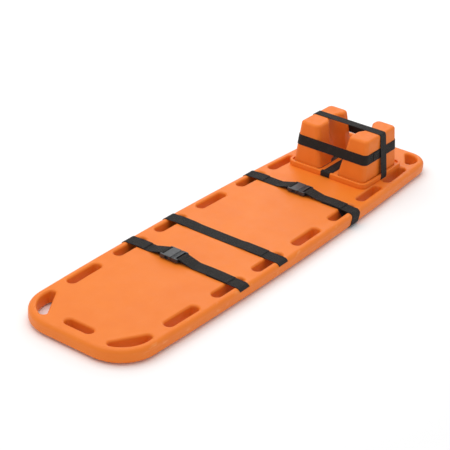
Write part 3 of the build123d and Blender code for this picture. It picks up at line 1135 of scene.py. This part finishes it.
@dataclass
class BuckledStrap(BodyStrap):
    """A strap in two halves, joined by a side release buckle."""

    buckle: float = 0.0
    near_end: float = -0.185
    near_ply: int = 2
    looped_tail: bool = False
    female_length: float = 0.044
    male_length: float = 0.028
    box: float = 0.020
    box_inset: float = 0.024
    bar_box: float = 0.016
    loose_rise: float = 0.0012
    lean: float = 0.011
    lean_depth: float = 0.045
    lean_inset: float = 0.030
    lean_run: float = 0.020

    def build(self) -> None:
        """Builds the strap's webbing and stitches, and dresses its buckle."""
        self.build_far()
        self.build_near()
        if self.looped_tail:
            self.build_loop()
        else:
            self.place(self.near_tail(), "board", self.name + "_near_tail")
        for half in ("female", "male"):
            repaint(self.nodes[f"{self.name}_{half}_buckle"], self.finishes.buckle)
        log.info("buckle of %s", self.name)

    def build_far(self) -> None:
        """Builds the webbing from the female bar to the far rail."""
        outer = self.buckle + self.female_length
        landing = (outer + self.landing, self.ply(1))
        bar, bar_radii = self.bar_loop(outer, 1, landing)
        loop, loop_radii = self.rail_loop(landing, self.overlap)
        ribbon = self.weave("far_strap", bar + loop[1:], [*bar_radii, self.bend, *loop_radii], True)
        self.place(ribbon, "board", self.name + "_far_webbing")
        runs = ribbon.box_stitch(ribbon.length - self.box_inset, self.box)
        first_half = [s for s in ribbon.stations if s.along < ribbon.length / 2]
        start = max(s.along for s in first_half if s.centre.y < outer + self.bar_box)
        runs += ribbon.box_stitch(start, self.bar_box)
        self.sew(self.name + "_far_stitches", runs, "board")

    def build_near(self) -> None:
        """Builds the webbing from the male bar towards the near rail."""
        outer = self.buckle - self.male_length
        landing = (outer - self.landing, self.ply(self.near_ply))
        points, radii = self.bar_loop(outer, -1, landing)
        end = self.near_end

        def lift(spot: Point) -> float:
            """Returns the slight rise of the loose webbing between buckle and end."""
            share = min(1.0, max(0.0, (spot[0] - end) / (landing[0] - end)))
            return self.loose_rise * math.sin(math.pi * share) ** 2

        points.append((end, landing[1]))
        ribbon = self.weave("near_strap", points, [*radii, self.bend], False, lift=lift)
        body = self.name + "_male_side"
        self.place(ribbon, body, self.name + "_near_webbing")
        upward = [s for s in ribbon.stations if s.normal.z > 0.5]
        start = max(s.along for s in upward if s.centre.y > outer - self.bar_box)
        runs = ribbon.row_stitch() + ribbon.box_stitch(start, self.bar_box)
        self.sew(self.name + "_near_stitches", runs, body)

    def build_loop(self) -> None:
        """Builds the loop round the near rail, under the near webbing."""
        points, radii = self.rail_loop((self.tail_start, self.ply(1)), self.tail_start)
        edge = self.edge_span()[1]

        def skew(spot: Point) -> float:
            """Returns the lean of the loop towards the foot where it passes the outer wall."""
            depth = ease((self.board.top - spot[1]) / self.lean_depth)
            return -self.lean * depth * ease((self.lean_inset - spot[0] - edge) / self.lean_run)

        ribbon = self.weave("loop_webbing", [(-y, z) for y, z in points], radii, False, skew=skew)
        self.place(ribbon, "board", self.name + "_near_loop")


@dataclass
class FlapStrap(BodyStrap):
    """The middle strap: one long hook and loop flap over a near tail."""

    hinge: float = 0.150
    hinge_length: float = 0.030
    slope: float = 0.022
    near_end: float = -0.165
    sewn_inset: float = 0.022
    sewn_box: float = 0.018

    def build(self) -> None:
        """Builds the strap as one bending length, and its tail."""
        points, radii = self.rail_loop((self.hinge, self.ply(1)), self.hinge)
        rise = -self.tail_start + self.slope
        edge = self.hinge - self.webbing.gap
        flap = [
            (edge - self.slope / 2, self.ply(2)),
            (edge - 2 * self.slope, self.ply(1)),
            (rise + self.slope, self.ply(1)),
            (rise, self.ply(2)),
            (self.near_end, self.ply(2)),
        ]
        ribbon = self.weave("flap_strap", points[:-1] + flap, radii + [self.bend] * 5, True)
        piece = self.place(ribbon, None, self.name + "_rail_loop", self.name + "_flap")
        height = self.ply(2) + self.webbing.thickness / 2
        body = self.name + "_flap_side"
        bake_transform(piece)
        self.sew(self.name + "_flap_stitches", ribbon.row_stitch(), body)
        y = self.hinge + self.sewn_inset
        pairs = zip(ribbon.stations, ribbon.stations[1:])
        sewn = [a.along for a, b in pairs if (a.centre.y - y) * (b.centre.y - y) <= 0][-1]
        self.sew(self.name + "_loop_stitches", ribbon.box_stitch(sewn, self.sewn_box), "board")
        self.place(self.near_tail(), "board", self.name + "_near_tail")


# Head immobiliser


@dataclass
class HeadBlock:
    """One tapered head block: coated foam with a hollow for the side of the head.

    Foot and top hold the block's front, back, inner and outer faces at its two ends.
    """

    side: Side
    finishes: Finishes
    foot: tuple[float, float, float, float] = (0.507, 0.743, 0.036, 0.152)
    top: tuple[float, float, float, float] = (0.521, 0.726, 0.063, 0.143)
    foot_height: float = 0.069
    height: float = 0.154
    corner: float = 0.018
    least_corner: float = 0.004
    crest: float = 0.009
    scoop_radius: float = 0.08803
    scoop_depth: float = 0.017
    scoop_x: float = 0.640
    scoop_soft: float = 0.0018
    scoop_sink: float = 0.0003
    inner_band: float = 0.004
    strap_low: float = 0.134
    strap_width: float = 0.038
    press: float = 0.0009
    press_edge: float = 0.004
    skirt: float = 0.0013
    skirt_width: float = 0.0125
    skirt_round: float = 0.0006
    cap_rise: float = 0.0001
    wall_rows: int = 42
    crest_rows: int = 8
    corner_steps: int = 8
    side_steps: tuple[int, ...] = (52, 16, 28, 16)

    @property
    def strap_edges(self) -> tuple[float, float]:
        """Heights of the wide strap's two edges."""
        return self.strap_low, self.strap_low + self.strap_width

    def faces_at(self, height: float) -> list[float]:
        """Returns the front, back, inner and outer faces at a height."""
        share = (height - self.foot_height) / self.height
        return [a + (b - a) * share for a, b in zip(self.foot, self.top)]

    def section(self, height: float, inset: float) -> Route:
        """Outlines the block at one height, with the head's hollow in its inner face.

        Args:
            height: Height of the section.
            inset: Distance drawn in from the outline.

        Returns:
            Points round the block, for the right side.
        """
        front, back, inner, outer = self.faces_at(height)
        pull = inset + self.press * self.band(height)
        corner = max(self.corner - inset, self.least_corner)
        low, high = (front + pull, inner + inset), (back - pull, outer - pull)
        radius = self.scoop_radius + inset
        points = []
        for x, y in rounded_ring(low, high, corner, self.corner_steps, self.side_steps):
            reach = abs(x - self.scoop_x)
            if y <= low[1] + self.inner_band and reach < radius:
                depth = math.sqrt(radius**2 - reach**2) - (self.scoop_radius - self.scoop_depth) - inset
                eased = 0.5 * (depth + math.sqrt(depth**2 + self.scoop_soft**2))
                y += max(0.0, eased - self.scoop_sink)
            points.append((x, y))
        return points

    def band(self, height: float) -> float:
        """Returns how far the wide strap presses in at one height, from 0 to 1."""
        low, high = self.strap_edges
        return ease((height - low) / self.press_edge) * ease((high - height) / self.press_edge)

    def rows(self) -> Route:
        """Lists the block's sections from its skirt up.

        Returns:
            Rise over the foot and inset of each section.
        """
        skirt = -self.skirt
        rows = [(0.0, self.skirt_width), (skirt, self.skirt_width)]
        rows += [(skirt, self.skirt_round), (skirt + self.skirt_round, 0.0)]
        wall = self.height - self.crest
        rows += [(wall * step / self.wall_rows, 0.0) for step in range(1, self.wall_rows + 1)]
        for step in range(1, self.crest_rows + 1):
            across, up = polar((0.0, 0.0), self.crest, 90 * step / self.crest_rows)
            rows.append((wall + up, self.crest - across))
        rows.append((self.height + self.cap_rise, self.crest + self.least_corner))
        return rows

    def build(self) -> None:
        """Builds the block's closed mesh on its body."""
        rows = self.rows()
        vertices = []
        for rise, inset in rows:
            height = self.foot_height + min(rise, self.height)
            section = self.section(self.foot_height + rise, inset)
            vertices += [(x, y * self.side.value, height) for x, y in section]
        size = len(vertices) // len(rows)
        faces = []
        for here in range(0, len(vertices) - size, size):
            for column in range(size):
                beside = here + (column + 1) % size
                faces.append((here + column, beside, beside + size, here + column + size))
        faces.append(tuple(reversed(range(size))))
        faces.append(tuple(range(len(vertices) - size, len(vertices))))
        if self.side is Side.LEFT:
            faces = [tuple(reversed(face)) for face in faces]
        name = self.side.name.lower()
        piece = make_piece(f"foam_block_{name}", vertices, faces, self.finishes.foam)
        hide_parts(f"head_block_{name}")
        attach(piece, f"{name}_block")
        log.info("head block on the patient's %s", name)


@dataclass
class Immobiliser(Strapwork):
    """Head immobiliser: base plate, two blocks and the straps that hold them."""

    webbing: Webbing = field(default_factory=lambda: Webbing(width=0.038, thickness=0.0014))
    front: float = 0.490
    back: float = 0.770
    half_width: float = 0.165
    board_top: float = 0.052
    floor: float = 0.066
    rim_top: float = 0.072
    rim_width: float = 0.009
    edge: float = 0.003
    fold: float = 0.0016
    floor_bend: float = 0.004
    floor_slope: float = 0.014
    top_x: float = 0.628
    tab_x: float = 0.583
    tab_length: float = 0.034
    tab_margin: float = 0.003
    tab_sewn_margin: float = 0.004
    tab_steps: int = 12
    grips: int = 4
    corner_steps: int = 10
    side_steps: tuple[int, ...] = (56, 72, 56, 72)

    slot_name = "head_webbing"

    def build(self) -> None:
        """Builds every piece of the immobiliser."""
        blocks = [HeadBlock(side, self.finishes) for side in Side]
        for block in blocks:
            block.build()
        self.dress_base()
        self.build_wide_strap(blocks[0])
        self.build_tab(blocks[0])
        self.build_top_strap(blocks[0])
        self.build_centre_strap()

    def dress_base(self) -> None:
        """Gives the base, its grips and the hook and loop pads their finishes."""
        repaint(self.nodes["immobiliser_base"], self.finishes.base)
        for number in range(self.grips):
            repaint(self.nodes[f"base_grip_{number + 1}"], self.finishes.grip)
        for side in Side:
            for kind in ("loop", "hook"):
                repaint(self.nodes[f"{kind}_pad_{side.name.lower()}"], self.finishes.nap)
        log.info("immobiliser base, grips and pads")

    def ribbon(self, name: str, stations: list[Station], width: float, closed: bool) -> Ribbon:
        """Returns a ribbon of the head straps' webbing."""
        return Ribbon(name, stations, width, self.webbing.thickness, self.finishes.head_webbing, closed)

    def place_ring(self, name: str, node: str, stations: list[Station]) -> None:
        """Builds a closed head strap in place of its CAD node."""
        self.place(self.ribbon(name, stations, self.webbing.width, True), "immobiliser", node)

    def build_wide_strap(self, block: HeadBlock) -> None:
        """Builds the wide strap that holds both blocks together.

        Args:
            block: One of the two blocks.
        """
        c = self.webbing.centre
        rings = []
        for height in block.strap_edges:
            front, back, _, outer = block.faces_at(height)
            low, high = (front - c, -outer - c), (back + c, outer + c)
            ring = rounded_ring(low, high, block.corner + c, self.corner_steps, self.side_steps)
            rings.append([Vector((x, y, height)) for x, y in ring])
        stations = []
        along = 0.0
        for index, (below, above) in enumerate(zip(*rings)):
            before, after = rings[0][index - 1], rings[0][(index + 1) % len(rings[0])]
            across = (above - below).normalized()
            normal = (after - before).normalized().cross(across)
            along += (below - before).length if index else 0.0
            stations.append(Station((below + above) / 2, across, normal, along))
        self.place_ring("wide_head_strap", "wide_strap", stations)

    def build_tab(self, block: HeadBlock) -> None:
        """Builds the sewn end of the wide strap on the near block's outer side.

        Args:
            block: One of the two blocks.
        """
        off = self.webbing.pitch + self.webbing.centre
        low, high = block.strap_edges
        heights = (low + self.tab_margin, high - self.tab_margin)
        foot, head = (Vector((self.tab_x, -block.faces_at(z)[3] - off, z)) for z in heights)
        across = (head - foot).normalized()
        normal = Vector((1, 0, 0)).cross(across)
        stations = []
        for step in range(self.tab_steps + 1):
            reach = self.tab_length * (step / self.tab_steps - 0.5)
            middle = (foot + head) / 2 + Vector((reach, 0, 0))
            stations.append(Station(middle, across, normal, reach + self.tab_length / 2))
        ribbon = self.ribbon("wide_strap_end", stations, (head - foot).length, False)
        self.place(ribbon, "immobiliser", "wide_strap_tab")
        margin = self.tab_sewn_margin
        runs = ribbon.box_stitch(margin, self.tab_length - 2 * margin)
        self.sew("wide_strap_end_stitches", runs, "immobiliser")

    def build_top_strap(self, block: HeadBlock) -> None:
        """Builds the strap over the tops of both blocks and round the base.

        Args:
            block: One of the two blocks.
        """
        c = self.webbing.centre
        side, low, rim = self.half_width + c, self.board_top + c, self.rim_top - self.edge
        top, shoulder = block.foot_height + block.height + c, block.top[3] + c
        points = [(-side, low), (-side, rim), (-shoulder, top), (shoulder, top), (side, rim), (side, low)]
        half = [self.fold, self.edge + c, block.crest + c]
        route = rounded_route(points, half + half[::-1], True)
        self.place_ring("top_head_strap", "top_strap", make_stations(route, Plane.ACROSS, self.top_x, True))

    def build_centre_strap(self) -> None:
        """Builds the strap that runs lengthwise between the blocks."""
        c = self.webbing.centre
        low, over = self.board_top + c + self.webbing.pitch, self.rim_top + c
        rim = self.rim_width + c
        foot = rim + self.floor_slope
        front_half = [(self.front - c, low), (self.front - c, over), (self.front + rim, over)]
        back_half = [(self.back - rim, over), (self.back + c, over), (self.back + c, low)]
        floor = [(self.front + foot, self.floor + c), (self.back - foot, self.floor + c)]
        half = [self.fold, self.edge + c, self.floor_bend, self.floor_bend]
        route = rounded_route(front_half + floor + back_half, half + half[::-1], True)
        self.place_ring("centre_head_strap", "centre_strap", make_stations(route, Plane.ALONG, 0.0, False))


# Studio


@dataclass
class Studio:
    """Camera, floor and soft light at the photograph's angle."""

    yaw: float = 34.42735657
    pitch: float = 27.91559884
    roll: float = -3.63477883
    place: Place = (-3.51302815, -2.31865962, 2.27320873)
    focal_pixels: float = 1407.3365879
    picture_pixels: float = 450.0
    sensor: float = 36.0
    clip_end: float = 100.0
    floor_reach: float = 30.0
    world_light: float = 0.66

    def build(self) -> None:
        """Sets up the camera, the floor, the lamps and the world."""
        self.build_camera()
        self.build_floor()
        self.add_lamp("top_lamp", (-0.4, 0.9, 3.6), (0.0, 0.0, 0.0), size=4.2, power=82.0)
        self.add_lamp("head_lamp", (3.4, 1.6, 2.2), (0.3, 0.0, 0.0), size=2.6, power=26.0)
        self.build_world()
        log.info("camera, floor and lamps")

    def build_camera(self) -> None:
        """Places the camera where the photograph was taken."""
        yaw, pitch, roll = (math.radians(a) for a in (self.yaw, self.pitch, self.roll))
        level = math.cos(pitch)
        ahead = Vector((level * math.cos(yaw), level * math.sin(yaw), -math.sin(pitch)))
        right = ahead.cross(Vector((0, 0, 1))).normalized()
        down = ahead.cross(right)
        turned = right * math.cos(roll) + down * math.sin(roll)
        lower = down * math.cos(roll) - right * math.sin(roll)
        data = bpy.data.cameras.new("photo_camera")
        data.sensor_width = self.sensor
        data.lens = self.focal_pixels / self.picture_pixels * self.sensor
        data.clip_end = self.clip_end
        camera = show("photo_camera", data)
        turn = Matrix((turned, -lower, -ahead)).transposed()
        camera.matrix_world = Matrix.Translation(Vector(self.place)) @ turn.to_4x4()
        bpy.context.scene.camera = camera

    def build_floor(self) -> None:
        """Lays the plain pale floor."""
        r = self.floor_reach
        corners = [(-r, -r, 0), (r, -r, 0), (r, r, 0), (-r, r, 0)]
        make_piece("floor", corners, [(0, 1, 2, 3)], StudioFloor("studio_floor").build())

    def build_world(self) -> None:
        """Sets a white world that lights the object less than it shows."""
        world = bpy.data.worlds.new("studio_world")
        bpy.context.scene.world = world
        world.use_nodes = True
        tree = NodeTree(world.node_tree)
        rays = tree.add("ShaderNodeLightPath")
        seen = tree.math("MAXIMUM", rays["Is Camera Ray"], rays["Is Transmission Ray"])
        strength = tree.ramp(seen, 0.0, 1.0, self.world_light, 1.0)
        tree.fill(world.node_tree.nodes["Background"], {"Color": WHITE, "Strength": strength})

    def add_lamp(self, name: str, place: Place, aim: Place, size: float, power: float) -> None:
        """Adds one square soft lamp.

        Args:
            name: Name of the lamp.
            place: Where it hangs.
            aim: Point that it faces.
            size: Side length in metres.
            power: Power in watts.
        """
        data = bpy.data.lights.new(name, "AREA")
        data.shape = "SQUARE"
        data.size = size
        data.energy = power
        way = (Vector(aim) - Vector(place)).to_track_quat("-Z", "Y")
        show(name, data).matrix_world = Matrix.Translation(Vector(place)) @ way.to_matrix().to_4x4()


def main() -> None:
    """Builds the whole scene in order."""
    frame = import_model()
    bpy.context.scene.view_settings.view_transform = "Standard"
    Studio().build()
    finishes = Finishes()
    board = Board(finishes, frame["nodes"])
    board.dress()
    shared = (finishes, frame["nodes"], Stitcher(finishes.thread))
    BuckledStrap(*shared, board, "strap_1", x=-0.3465, buckle=0.034, near_end=-0.185).build()
    FlapStrap(*shared, board, "strap_2", x=-0.1315).build()
    head_end = BuckledStrap(*shared, board, "strap_3", x=0.3295, buckle=-0.006, near_end=-0.182)
    head_end.near_ply = 3
    head_end.looped_tail = True
    head_end.build()
    Immobiliser(*shared).build()


if __name__ == "__main__":
    main()
